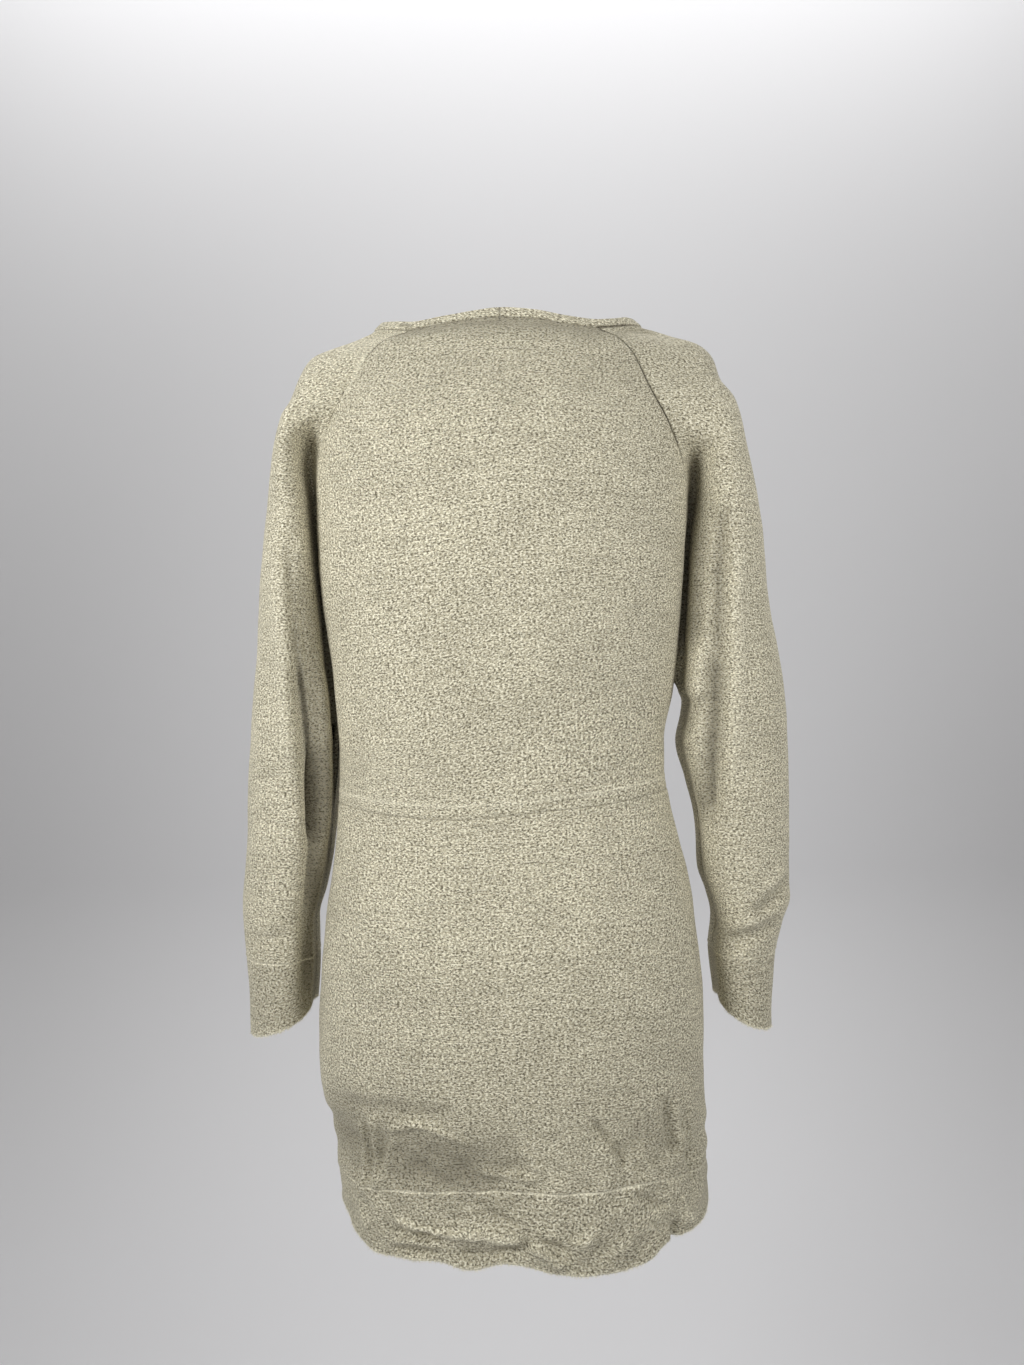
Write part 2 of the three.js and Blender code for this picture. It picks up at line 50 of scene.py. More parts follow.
CLOTH = 1.5  # thickness of the knit
UNDERARM_CLEARANCE = 0.6  # between a sleeve's lowest seam point and the body
NECK_BAND = 8  # height of the band round the neck
NECK_BAND_RISE = 0.35  # how much more steeply the band stands than the cloth below it
BAND_SLOPE_SHARE = 0.1  # share of the way to the underarm over which that slope is taken
UNDERARM = {"left": -385, "right": -333}
UNDERARM_TURN = 40  # length over which the underarm seam moves to the middle of the arm
UNDERARM_SHARE = 0.06  # share of the way from the neck over which a sleeve parts from the body
NECK_SHARE = 0.03  # and over which it leaves the neckline
ROLL_CORNER = 0.72  # how far the roll's outer corner lies from the roll's depth to the arm's own
WEB_FOLD = 0.62  # where the cloth turns back between body and arm, as a share of the gap
FRONT_DIP = 0.35  # depth of that fold on the front, as a share of the back's
FOLD_TOP = {"left": -84, "right": -102}  # height at which the cloth begins to fold in
FOLD_GROWTH = 34  # and how far below that the fold has its full depth
CUFF_SEAM = -580
CUFF_MIDDLE = -635
CUFF_TILT = 16  # the cuff's edge is lower on the outer side of the arm
SIDES = {"left": -1, "right": 1}

# Columns and rows of the grids.
BACK_COLUMNS = 180
FRONT_COLUMNS = 84
KNOT_STEPS = 8  # columns between two knots of a sleeve's section
UPPER_ROWS = 130  # from the neck to the underarms
WAIST_ROWS = 34  # from the underarms to the waist seam
SKIRT_ROWS = 150
HEM_ROWS = 34
SLEEVE_ROWS = 84  # from the underarm to the cuff
CUFF_ROWS = 22
BAND_ROWS = 5
NECK_CROWDING = 1.2  # above 1, the rows of the upper pieces lie closer together at the neck

SAME_PLACE = 1e-4  # knots closer than this lie on each other
NO_LENGTH = 1e-9  # keeps a division from meeting zero


def column(at, values):
    """A smooth curve through a table's values that never runs past them, flat outside the table."""
    order = np.argsort(at)
    x = np.asarray(at, float)[order]
    y = np.asarray(values, float)[order]
    span = np.diff(x)
    slope = np.diff(y) / span
    tangent = np.zeros(len(x))
    for i in range(1, len(x) - 1):
        if slope[i - 1] * slope[i] > 0:
            tangent[i] = 2 * slope[i - 1] * slope[i] / (slope[i - 1] + slope[i])

    def value(where):
        where = np.clip(where, x[0], x[-1])
        i = np.clip(np.searchsorted(x, where, side="right") - 1, 0, len(span) - 1)
        t = (where - x[i]) / span[i]
        own = y[i] * (1 + 2 * t) * (1 - t) ** 2 + y[i + 1] * t * t * (3 - 2 * t)
        return own + span[i] * (tangent[i] * t * (1 - t) ** 2 + tangent[i + 1] * t * t * (t - 1))

    return value


def columns(names, rows):
    """A table's columns as curves over its first one."""
    names = names.split()
    table = np.array(rows, float)
    return {name: column(table[:, 0], table[:, i]) for i, name in enumerate(names) if i}


# Body of the dress at each height: how far it reaches left, right, back and front.
TRUNK = columns(
    "height left right back front",
    [
        (0, 117, 122, 66, 60),
        (-20, 128, 132, 74, 70),
        (-50, 150, 152, 86, 84),
        (-107, 170, 166, 101, 104),
        (-144, 176, 168, 105, 114),
        (-218, 173, 162, 104, 124),
        (-273, 168, 157, 100, 122),
        (-338, 160, 149, 95, 108),
        (-386, 157, 140, 90, 93),
        (-411, 157, 140, 88, 87),
        (-441, 158, 145, 88, 85),
        (-478, 162, 153, 93, 88),
        (-531, 169, 164, 106, 95),
        (-590, 175, 170, 116, 100),
        (-641, 179, 172, 119, 101),
        (-681, 177, 171, 118, 101),
        (-731, 166, 172, 116, 101),
        (-768, 162, 174, 117, 102),
        (-805, 159, 174, 118, 103),
        (-830, 156, 168, 118, 103),
    ],
)
TRUNK_SQUARENESS = 0.92  # 1 is an ellipse, less is squarer

# Edges round the body, for angles from the middle of the back, left sides negative.
EDGES = columns(
    "angle neck waist hemSeam hem",
    [
        (-180, -72, -433, -762, -812),
        (-135, -40, -436, -763, -806),
        (-90, -1, -437, -762, -792),
        (-69, -5, -438, -761, -794),
        (-48, -12, -442, -759, -811),
        (-36, -16, -444, -755, -809),
        (-22, -14, -446, -752, -806),
        (-12, -11, -446, -750, -810),
        (-3, -9, -444, -749, -804),
        (10, -11, -440, -750, -815),
        (22, -15, -438, -751, -819),
        (34, -17, -436, -751, -817),
        (46, -14, -433, -753, -803),
        (60, -8, -430, -757, -804),
        (90, -2, -428, -760, -799),
        (135, -40, -430, -762, -808),
        (180, -72, -433, -762, -812),
    ],
)

# Where the raglan seams run, as angles from the middle of the back or of the front.
RAGLAN = columns(
    "share left right",
    [
        (0, 38, 36),
        (0.03, 49, 42),
        (0.06, 52, 45),
        (0.1, 54, 47),
        (0.18, 62, 50),
        (0.28, 69, 57),
        (0.38, 74, 65),
        (0.5, 78, 73),
        (0.7, 82, 79),
        (0.94, 85.5, 85),
        (1, 90, 90),
    ],
)

# Sleeves at each height: underarm seam, inner and outer reach from the middle, depth of the roll,
# turn of the cloth at the underarm fold, and the arm's back and front.
SLEEVE_COLUMNS = "height seam inner outer roll dip back front"
SLEEVES = {
    "left": columns(
        SLEEVE_COLUMNS,
        [
            (0, 0, 100, 118, -46, 6, -30, 28),
            (-18, 0, 100, 141, -42, 8, -25, 24),
            (-27, 0, 112, 162, -47, 7, -31, 30),
            (-35, 0, 125, 178, -51, 4, -35, 34),
            (-53, 0, 148, 189, -56, -2, -41, 40),
            (-77, 0, 170, 197, -55, -6, -47, 46),
            (-91, 0, 184, 204, -50, 1, -50, 49),
            (-122, 0, 186, 211, -43, 22, -55, 54),
            (-166, 0, 180, 218, -37, 27, -56, 57),
            (-206, 0, 177, 223, -34, 25, -56, 59),
            (-255, 0, 174, 228, -33, 16, -55, 60),
            (-309, 0, 169, 232, -33, 8, -53, 60),
            (-344, 157, 165, 236, -33, 4, -51, 60),
            (-385, 158, 163, 239, -31, -6, -49, 60),
            (-437, 163, 164, 243, -26, -10, -46, 60),
            (-483, 168, 169, 246, -20, -10, -42, 60),
            (-520, 176, 177, 248, -14, -9, -38, 60),
            (-548, 183, 184, 249, -12, -8, -34, 60),
            (-582, 183, 184, 249, -10, -8, -30, 58),
            (-610, 185, 186, 247, -9, -8, -27, 57),
            (-655, 187, 188, 245, -8, -8, -25, 56),
        ],
    ),
    "right": columns(
        SLEEVE_COLUMNS,
        [
            (0, 0, 104, 123, -46, 6, -30, 28),
            (-19, 0, 105, 153, -42, 8, -25, 24),
            (-28, 0, 118, 181, -47, 7, -31, 30),
            (-40, 0, 135, 191, -53, 3, -37, 36),
            (-60, 0, 148, 198, -57, -2, -45, 44),
            (-79, 0, 158, 211, -58, -6, -50, 49),
            (-97, 0, 175, 215, -57, -4, -53, 52),
            (-121, 0, 180, 220, -50, 8, -57, 57),
            (-148, 0, 177, 226, -41, 26, -59, 61),
            (-185, 0, 172, 231, -35, 26, -57, 63),
            (-222, 0, 167, 235, -34, 19, -55, 63),
            (-260, 0, 164, 240, -34, 12, -53, 63),
            (-305, 0, 161, 247, -34, 5, -51, 62),
            (-333, 150, 160, 251, -33, -6, -50, 62),
            (-341, 155, 161, 252, -32, -14, -50, 62),
            (-350, 163, 164, 253, -28, -15, -49, 62),
            (-363, 163, 162, 254, -24, -14, -49, 62),
            (-387, 157, 157, 255, -22, -11, -48, 62),
            (-424, 165, 165, 256, -20, -10, -46, 62),
            (-465, 174, 173, 256, -17, -9, -43, 62),
            (-507, 177, 176, 256, -13, -8, -41, 63),
            (-530, 183, 183, 256, -12, -8, -40, 62),
            (-553, 188, 187, 248, -12, -8, -36, 60),
            (-582, 184, 184, 242, -10, -8, -31, 57),
            (-610, 187, 187, 241, -9, -8, -28, 56),
            (-655, 190, 190, 238, -8, -8, -26, 55),
        ],
    ),
}


# --- curves of the cut ---


def smooth(t):
    t = np.clip(t, 0, 1)
    return t * t * (3 - 2 * t)


def mix(a, b, t):
    return a + (b - a) * t


def soft_power(value):
    return np.sign(value) * np.abs(value) ** TRUNK_SQUARENESS


def trunk_point(angle, height):
    """A point of the body at an angle from the middle of the back, and a height."""
    turn = np.radians(angle)
    across = soft_power(np.sin(turn))
    deep = soft_power(np.cos(turn))
    width = np.where(across < 0, TRUNK["left"](height), TRUNK["right"](height))
    depth = np.where(deep > 0, TRUNK["back"](height), TRUNK["front"](height))
    return np.stack([width * across, -depth * deep, np.broadcast_to(height, across.shape)], axis=-1)


def in_half_turn(angle):
    return np.where(angle > 180, angle - 360, angle)


def neck_seam(angle):
    return EDGES["neck"](angle) - NECK_BAND


def underarm_line(angle):
    """Height of the line round the body that joins the two underarm points."""
    return mix(UNDERARM["left"], UNDERARM["right"], smooth((np.sin(np.radians(angle)) + 1) / 2))


def upper_height(angle, share):
    return mix(neck_seam(angle), underarm_line(angle), share)


def upper_point(angle, share):
    angle = np.asarray(angle, float)
    return trunk_point(angle, upper_height(angle, share))


def seam_angle(side, is_front, share):
    from_middle = RAGLAN[side](share)
    return SIDES[side] * (180 - from_middle if is_front else from_middle)


def sleeve_knots(side, height_at, back_seam, front_seam):
    """The knots of a sleeve's section, from the back seam round the arm to the front seam."""
    at = SLEEVES[side]

    def knot(share, along_arm, depth_of):
        height = height_at(share)
        reach = mix(at["inner"](height), at["outer"](height), along_arm)
        return [SIDES[side] * reach, depth_of(height), height]

    def web(share, seam, inwards):
        height = height_at(share)
        reach = mix(abs(seam[0]), at["inner"](height), WEB_FOLD)
        return [SIDES[side] * reach, seam[1] + inwards * at["dip"](height), height]

    def depth(share):
        return lambda h: mix(at["back"](h), at["front"](h), share)

    def corner(h):
        return mix(at["roll"](h), at["back"](h), ROLL_CORNER)

    def mirrored(depth_of):
        return lambda h: at["front"](h) + at["back"](h) - depth_of(h)

    def folded_in(seam, folded, arm):
        """Above the fold the cloth runs straight from the seam to the arm."""
        knots = []
        for i, point in enumerate(folded):
            level = smooth((FOLD_TOP[side] - point[2]) / FOLD_GROWTH)
            flat = mix(np.array(seam, float), np.array(arm, float), (i + 1) / (len(folded) + 1))
            flat[2] = point[2]
            knots.append(mix(flat, np.array(point, float), level))
        return knots

    # Each knot's share of the way round the section and out along the arm, and its depth.
    arm = [
        knot(0.31, 0.4, at["back"]),
        knot(0.4, 0.76, depth(0.12)),
        knot(0.46, 0.95, depth(0.32)),
        knot(0.5, 1, depth(0.5)),
        knot(0.54, 0.95, depth(0.68)),
        knot(0.6, 0.76, depth(0.88)),
        knot(0.69, 0.4, at["front"]),
    ]
    back_fold = [web(0.08, back_seam, 1), knot(0.16, 0, at["roll"]), knot(0.23, 0.12, corner)]
    front_fold = [
        web(0.92, front_seam, -FRONT_DIP),
        knot(0.84, 0, mirrored(at["roll"])),
        knot(0.77, 0.12, mirrored(corner)),
    ]
    back_fold = folded_in(back_seam, back_fold, arm[0])
    front_fold = folded_in(front_seam, front_fold, arm[-1])
    return np.array([back_seam, *back_fold, *arm, *front_fold[::-1], front_seam], float)


def along_knots(knots):
    """A centripetal Catmull-Rom curve through the knots, with KNOT_STEPS points to each stretch."""
    first = 2 * knots[0] - knots[1]
    last = 2 * knots[-1] - knots[-2]
    ghost = np.vstack([first, knots, last])
    t = (np.arange(KNOT_STEPS) / KNOT_STEPS)[:, None]
    parts = []
    for i in range(len(knots) - 1):
        p0, p1, p2, p3 = ghost[i : i + 4]
        d0, d1, d2 = (np.linalg.norm(b - a) ** 0.5 for a, b in ((p0, p1), (p1, p2), (p2, p3)))
        d1 = d1 if d1 > SAME_PLACE else 1.0
        d0 = d0 if d0 > SAME_PLACE else d1
        d2 = d2 if d2 > SAME_PLACE else d1
        m1 = ((p1 - p0) / d0 - (p2 - p0) / (d0 + d1) + (p2 - p1) / d1) * d1
        m2 = ((p2 - p1) / d1 - (p3 - p1) / (d1 + d2) + (p3 - p2) / d2) * d1
        cubic = 2 * p1 - 2 * p2 + m1 + m2
        square = -3 * p1 + 3 * p2 - 2 * m1 - m2
        parts.append(p1 + m1 * t + square * t**2 + cubic * t**3)
    parts.append(knots[-1:])
    return np.vstack(parts)


def upper_sleeve_row(side, share):
    """A row above the underarm, which grows out of the neckline into the arm's own section."""
    back_angle = seam_angle(side, False, share)
    front_angle = seam_angle(side, True, share)
    parting = SIDES[side] * UNDERARM_CLEARANCE * smooth(1 - (1 - share) / UNDERARM_SHARE)
    back_seam = upper_point(back_angle, share) + [parting, 0, 0]
    front_seam = upper_point(front_angle, share) + [parting, 0, 0]

    def height_at(t):
        return float(upper_height(mix(back_angle, front_angle, t), share))

    arm = along_knots(sleeve_knots(side, height_at, back_seam, front_seam))
    angles = mix(back_angle, front_angle, np.linspace(0, 1, len(arm)))
    return mix(upper_point(angles, share), arm, smooth(share / NECK_SHARE))


def lower_sleeve_row(side, share, start, edge_at):
    """A row below the underarm: share 0 is the start height and 1 the edge asked for."""
    at = SLEEVES[side]

    def height_at(t):
        return float(mix(start, edge_at(t), share))

    height = height_at(0)
    middle = (at["back"](height) + at["front"](height)) / 2
    turned = smooth((UNDERARM[side] - height) / UNDERARM_TURN)
    seam = [SIDES[side] * at["seam"](height), middle * turned, height]
    return along_knots(sleeve_knots(side, height_at, seam, seam))


def same_way_round(side, row):
    return row[::-1] if side == "left" else row


# --- grids of the pieces: rows run down, columns counter-clockwise from above ---


def unit(vectors):
    return vectors / np.linalg.norm(vectors, axis=-1, keepdims=True)


def spread(count):
    """Even shares from 0 to 1, with a few more close to both ends, where the seams are."""
    near = [0, 0.2, 0.45, 0.7]  # in steps from the end
    steps = [*near, *range(1, count), *(count - share for share in reversed(near))]
    return np.array(steps) / count


UPPER_SHARES = np.linspace(0, 1, UPPER_ROWS + 1) ** NECK_CROWDING


def panel_angles(is_front, share, shares):
    left = seam_angle("left", is_front, share)
    right = seam_angle("right", is_front, share)
    start, end = (right, left + 360) if is_front else (left, right)
    return in_half_turn(mix(start, end, shares))


def band_grid(is_front, shares, rows, upper_edge, lower_edge):
    """A panel between two edges that run round half the body."""
    angles = panel_angles(is_front, 1, shares)
    upper, lower = upper_edge(angles), lower_edge(angles)
    return np.stack([trunk_point(angles, mix(upper, lower, share)) for share in rows])


def bodice_grid(is_front, shares):
    upper = [upper_point(panel_angles(is_front, share, shares), share) for share in UPPER_SHARES]
    lower = band_grid(is_front, shares, spread(WAIST_ROWS), underarm_line, EDGES["waist"])
    return np.concatenate([np.stack(upper), lower[1:]])


def sleeve_grid(side):
    upper = [upper_sleeve_row(side, share) for share in UPPER_SHARES]
    lower = [
        lower_sleeve_row(side, share, UNDERARM[side], lambda t: CUFF_SEAM)
        for share in spread(SLEEVE_ROWS)[1:]
    ]
    return np.stack([same_way_round(side, row) for row in upper + lower])


def cuff_grid(side):
    def edge_at(t):
        return CUFF_MIDDLE + CUFF_TILT * math.cos(2 * math.pi * t)

    rows = [lower_sleeve_row(side, share, CUFF_SEAM, edge_at) for share in spread(CUFF_ROWS)]
    return np.stack([same_way_round(side, row)[:-1] for row in rows])


def neck_grid(back, front, left, right):
    """The neck band carries on the slope of the back, the sleeves and the front."""
    panels = (back, right, front, left)
    ring = np.concatenate([grid[0, :-1] for grid in panels])
    row = int(np.searchsorted(UPPER_SHARES, BAND_SLOPE_SHARE))
    slope = unit(ring - np.concatenate([grid[row, :-1] for grid in panels]))
    slope[:, 2] += NECK_BAND_RISE
    slope = unit(slope)
    return np.stack([ring + slope * NECK_BAND * up for up in spread(BAND_ROWS)[::-1]])


def cut_pieces():
    back_shares, front_shares = spread(BACK_COLUMNS), spread(FRONT_COLUMNS)
    back, front = bodice_grid(False, back_shares), bodice_grid(True, front_shares)
    left, right = sleeve_grid("left"), sleeve_grid("right")
    grids = {
        "neck_band": neck_grid(back, front, left, right),
        "back_bodice": back,
        "front_bodice": front,
        "sleeve_left": left,
        "sleeve_right": right,
        "cuff_left": cuff_grid("left"),
        "cuff_right": cuff_grid("right"),
    }
    waist, hem_seam, hem = EDGES["waist"], EDGES["hemSeam"], EDGES["hem"]
    for name, is_front, shares in (("back", False, back_shares), ("front", True, front_shares)):
        grids["skirt_" + name] = band_grid(is_front, shares, spread(SKIRT_ROWS), waist, hem_seam)
        grids["hem_" + name] = band_grid(is_front, shares, spread(HEM_ROWS), hem_seam, hem)
    return grids


RINGS = ("neck_band", "cuff_left", "cuff_right")  # pieces that close on themselves


# --- directions out of the cloth, shared where pieces meet ---


def steps_along(grid, axis, ring):
    if ring and axis == 1:
        return (np.roll(grid, -1, axis=1) - np.roll(grid, 1, axis=1)) / 2
    return np.gradient(grid, axis=axis)


def grid_normals(grid, ring):
    normal = np.cross(steps_along(grid, 0, ring), steps_along(grid, 1, ring))
    return normal / np.maximum(np.linalg.norm(normal, axis=2, keepdims=True), NO_LENGTH)


def border_places(grid, ring):
    """Row and column of each point on a piece's edges."""
    rows, across = grid.shape[:2]
    places = [(r, c) for r in (0, rows - 1) for c in range(across)]
    if not ring:
        places += [(r, c) for r in range(1, rows - 1) for c in (0, across - 1)]
    return places


def shared_normals(grids):
    normals = {name: grid_normals(grid, name in RINGS) for name, grid in grids.items()}
    meeting = {}
    for name, grid in grids.items():
        for place in border_places(grid, name in RINGS):
            key = tuple(np.round(grid[place], 2))
            meeting.setdefault(key, []).append((name, place))
    for members in meeting.values():
        total = sum(normals[name][place] for name, place in members)
        total = total / max(np.linalg.norm(total), NO_LENGTH)
        for name, place in members:
            normals[name][place] = total
    return normals


# --- creases ---

# Troughs of positive depth and ridges of negative depth, on the back (face -1) or front (face 1).
# Each runs from its first point to its second, bowed sideways by bow.
CREASE_COLUMNS = "name face x z toX toZ depth width bow".split()
CREASES = [
    ("under left hip", -1, -156, -689, -52, -685, 4.5, 9, 0),
    ("arc of the hip, left part", -1, -107, -704, -79, -695, -4, 3, -1),
    ("arc of the hip, right part", -1, -87, -695, -39, -710, -3, 3, -2),
    ("below the arc", -1, -105, -713, -118, -756, -5, 3, 0),
    ("left side, first", -1, -135, -706, -132, -762, -5, 3, 0),
    ("left side, second", -1, -124, -698, -121, -758, -4.5, 3, 0),
    ("left side of the hem, first", -1, -138, -767, -124, -805, -1.5, 3, 0),
    ("left side of the hem, second", -1, -123, -764, -113, -798, -1.3, 3, 0),
    ("low left hollow", -1, -96, -737, -64, -740, 1.7, 6.1, 0),
    ("above the hem seam", -1, -28, -733, 15, -738, -4, 2.7, 1),
    ("middle low, light", -1, 2, -712, 19, -731, -4, 2.7, 0),
    ("middle low, dark", -1, -4, -724, 10, -732, 1.5, 3, 0),
    ("right low, long", -1, 65, -693, 91, -733, 5, 3.2, 0),
    ("right low, short", -1, 100, -726, 116, -744, -4.5, 3, 0),
    ("right low, short shade", -1, 96, -729, 110, -747, 1.1, 2.7, 0),
    ("right side, inner", -1, 128, -685, 139, -736, 4.2, 4.6, 2),
    ("right side, outer", -1, 144, -700, 153, -764, 4, 4.2, 0),
    ("right side, light", -1, 134, -690, 146, -737, -2.6, 3.2, 0),
    ("hem, upper light, left", -1, -102, -779, -64, -782, -4.1, 2.9, 0),
    ("hem, upper light, middle", -1, -71, -782, -31, -784, -4.1, 3.2, 0),
    ("hem, broad light", -1, -41, -780, 3, -786, -7.1, 5.7, 0),
    ("hem, shade left", -1, -100, -787, -66, -789, 4.3, 2.8, 0),
    ("hem, lower light", -1, -103, -795, -68, -792, -3.7, 2.7, 0),
    ("hem, lowest shade", -1, -105, -803, -64, -799, 4.1, 2.8, 0),
    ("hem, thin shade", -1, -28, -764, 2, -774, 3.4, 2.7, 0),
    ("hem, shade under the broad light", -1, -46, -798, 11, -788, 4.2, 4.6, 3),
    ("hem, right of the middle", -1, 10, -789, 35, -809, -4.3, 3.9, 0),
    ("hem, right of the middle, shade", -1, 18, -786, 44, -800, 3.7, 3.5, 0),
    ("hem, light patch", -1, 46, -792, 61, -789, -4.3, 4.3, 0),
    ("hem, right shade", -1, 97, -759, 127, -776, 4.1, 3.5, 0),
    ("hem, right notch", -1, 133, -826, 134, -791, 7.1, 3.5, 0),
    ("hem, right light", -1, 141, -772, 148, -797, -4.3, 4.3, 0),
    ("back, long soft line left", -1, -133, -194, -128, -314, 1, 4.3, 0),
    ("back, long soft line left low", -1, -128, -305, -134, -434, 1, 4.3, 0),
    ("back, short soft line left", -1, -162, -142, -158, -221, 1, 3.5, 0),
    ("low left hollow, broad", -1, -172, -722, 8, -738, 8, 28, 0),
    ("low right hollow, broad", -1, 84, -722, 140, -714, 3, 22, 0),
    ("front hip left", 1, -140, -690, -60, -700, 3.7, 7.4, 0),
    ("front hip right", 1, 60, -700, 135, -684, 3.1, 7.4, 0),
    ("front low left", 1, -96, -728, -80, -755, -1.7, 3.2, 0),
    ("front low middle", 1, -10, -722, 22, -740, 2.1, 4.2, 1),
    ("front low right", 1, 88, -716, 106, -748, 2.3, 4.2, 0),
    ("front hem left", 1, -100, -784, -40, -790, -3.6, 4.2, 1),
    ("front hem middle", 1, -24, -790, 34, -798, 3.6, 4.2, 2),
    ("front hem right", 1, 60, -782, 112, -790, -3.4, 4.2, -1),
    ("front, long soft line", 1, 128, -210, 122, -410, 1, 5.2, 0),
    ("front waist left", 1, -120, -418, -60, -425, 1.5, 5.2, 0),
]
# The sleeves' and cuffs' own.
SLEEVE_CREASES = [
    ("left valley", -1, -191, -205, -183, -330, 4, 6, 0),
    ("left valley, low", -1, -184, -320, -170, -470, 12, 8, 0),
    ("left valley, lowest", -1, -171, -400, -185, -610, 9, 8, 0),
    ("left light side", -1, -204, -226, -194, -400, -3, 8, 0),
    ("left, into the slot", -1, -165, -235, -158, -450, 13, 17, 0),
    ("right valley", -1, 187, -190, 182, -305, 9, 8, 0),
    ("right valley, low", -1, 181, -310, 174, -450, 10, 9, 0),
    ("right light side", -1, 202, -215, 195, -420, -3, 8, 0),
    ("right inner light side", -1, 170, -300, 166, -350, -3, 6, 0),
    ("right, into the slot", -1, 174, -160, 160, -300, 6, 11, 0),
    ("right forearm", -1, 252, -514, 216, -540, 6, 7, 0),
    ("right forearm bulge", -1, 246, -502, 226, -518, -3.4, 5, 0),
    ("right wrist", -1, 190, -566, 236, -550, 5, 7, 1),
    ("right wrist, light", -1, 196, -553, 232, -540, -2.4, 5, 0),
    ("left wrist", -1, -238, -560, -200, -552, 2.5, 7, 0),
    ("left valley on the front", 1, -196, -220, -178, -430, 9, 11, 0),
    ("right valley on the front", 1, 190, -210, 184, -440, 9, 11, 0),
    ("right forearm on the front", 1, 246, -505, 200, -545, 5, 10, 0),
]
CREASE_END = 0.22  # share of a crease's length over which each end runs out
FACING_GAIN = 1.6  # how soon a crease has its full depth as the cloth turns to its face


def ridge(distance, width):
    """1 on a line, and less away from it."""
    return np.exp(-((distance / width) ** 2))


def stroke(row, points, normals):
    """How strongly each point lies under a stroke of a table, times its depth or strength."""
    row = dict(zip(CREASE_COLUMNS, row))
    along = np.array([row["toX"] - row["x"], row["toZ"] - row["z"]])
    offset = points[..., [0, 2]] - [row["x"], row["z"]]
    share = offset @ along / (along @ along)
    bow = row["bow"] * (1 - (2 * np.clip(share, 0, 1) - 1) ** 2)
    across = (offset[..., 0] * along[1] - offset[..., 1] * along[0]) / np.linalg.norm(along) - bow
    ends = smooth((share + CREASE_END / 2) / CREASE_END)
    ends = ends * smooth((1 + CREASE_END / 2 - share) / CREASE_END)
    facing = smooth(np.maximum(normals[..., 1] * row["face"], 0) * FACING_GAIN)
    return row["depth"] * ridge(across, row["width"]) * ends * facing


# Slow waves of the whole cloth: direction, wavelength, height and phase.
WAVES = [
    ((0.31, 0.22, 0.92), 147, 0.5, 0.4),
    ((-0.52, 0.35, 0.78), 93, 0.4, 2.1),
    ((0.78, -0.41, 0.48), 61, 0.3, 4.0),
    ((0.12, 0.85, 0.51), 43, 0.18, 1.3),
    ((0.66, 0.30, -0.69), 27, 0.1, 5.2),
]
# Small crumples low on the skirt and on the hem band, in the same columns.
CRUMPLES = [
    ((0.50, 0.10, 0.86), 19, 0.5, 0.7),
    ((-0.61, 0.12, 0.78), 24, 0.6, 2.9),
    ((0.93, 0.15, -0.33), 33, 0.6, 5.1),
]
CRUMPLE_TOP = -680
CRUMPLE_FADE = 45  # height over which the crumples begin


def waves(points, rows):
    total = np.zeros(points.shape[:-1])
    for direction, length, height, phase in rows:
        total += height * np.sin(points @ np.array(direction) * (2 * math.pi / length) + phase)
    return total


def crease_depth(name, points, normals):
    """How far the creases push each point into the body."""
    if name.startswith(("sleeve", "cuff")):
        return sum(stroke(row, points, normals) for row in SLEEVE_CREASES)
    low = smooth((CRUMPLE_TOP - points[..., 2]) / CRUMPLE_FADE)
    return sum(stroke(row, points, normals) for row in CREASES) + low * waves(points, CRUMPLES)


# --- seams ---

SEAM_WIDTH = 1.1  # how far a seam's groove reaches into each piece
NO_EDGE = 1e3  # stands for the distance to an edge that a closed piece doesn't have
# How deep each edge of a piece, or of every piece of a kind, turns in at its seam.
SEAMS = {
    "neck_band": {"bottom": 1.0},
    "back_bodice": {"top": 1.0, "left": 0.5, "right": 0.9, "bottom": 0.7},
    "front_bodice": {"top": 1.0, "left": 0.8, "right": 0.5, "bottom": 0.7},
    "sleeve_left": {"top": 1.0, "left": 0.5, "right": 0.5, "bottom": 0.5},
    "sleeve_right": {"top": 1.0, "left": 0.9, "right": 0.9, "bottom": 0.5},
    "cuff": {"top": 0.5},
    "skirt": {"top": 0.7, "left": 0.5, "right": 0.5, "bottom": 0.5},
    "hem": {"top": 0.5, "left": 0.5, "right": 0.5},
}
# Other stitched lines that follow an edge: piece or kind, edge, distance, depth and width.
SEAM_LINES = [
    ("bodice", "top", 4, 1.3, 4.5),
    ("sleeve", "top", 3, 0.7, 3.5),
    ("bodice", "bottom", 11, -0.45, 1.6),
    ("skirt", "bottom", 1.5, -0.6, 1.3),
    ("sleeve", "bottom", 1.5, -0.5, 1.3),
]

RAGLAN_PIECES = ("back_bodice", "front_bodice", "sleeve_left", "sleeve_right")
# Heights between which their seams fade, and the share that is left below.
RAGLAN_FADE = {"left": (-36, -58, 0.03), "right": (-92, -150, 0.25)}


def raglan_strength(grid):
    """The raglan seams are crisp near the neck and fade further down."""
    strengths = {}
    for side, (start, end, faded) in RAGLAN_FADE.items():
        strengths[side] = mix(1, faded, smooth((start - grid[..., 2]) / (start - end)))
    return np.where(grid[..., 0] < 0, strengths["left"], strengths["right"])


def edges_of(name, table):
    """The row of a table that is for a piece or its kind."""
    return next(edges for kind, edges in table.items() if kind in name)


def edge_distances(grid, ring):
    """Distance of each grid point from each edge of its piece, in the cloth."""
    across = np.linalg.norm(np.diff(grid, axis=1), axis=2)
    down = np.linalg.norm(np.diff(grid, axis=0), axis=2)
    left = np.concatenate([np.zeros((len(grid), 1)), np.cumsum(across, axis=1)], axis=1)
    top = np.concatenate([np.zeros((1, grid.shape[1])), np.cumsum(down, axis=0)])
    none = np.full(left.shape, NO_EDGE)
    return {
        "left": none if ring else left,
        "right": none if ring else left[:, -1:] - left,
        "top": top,
        "bottom": top[-1:] - top,
    }


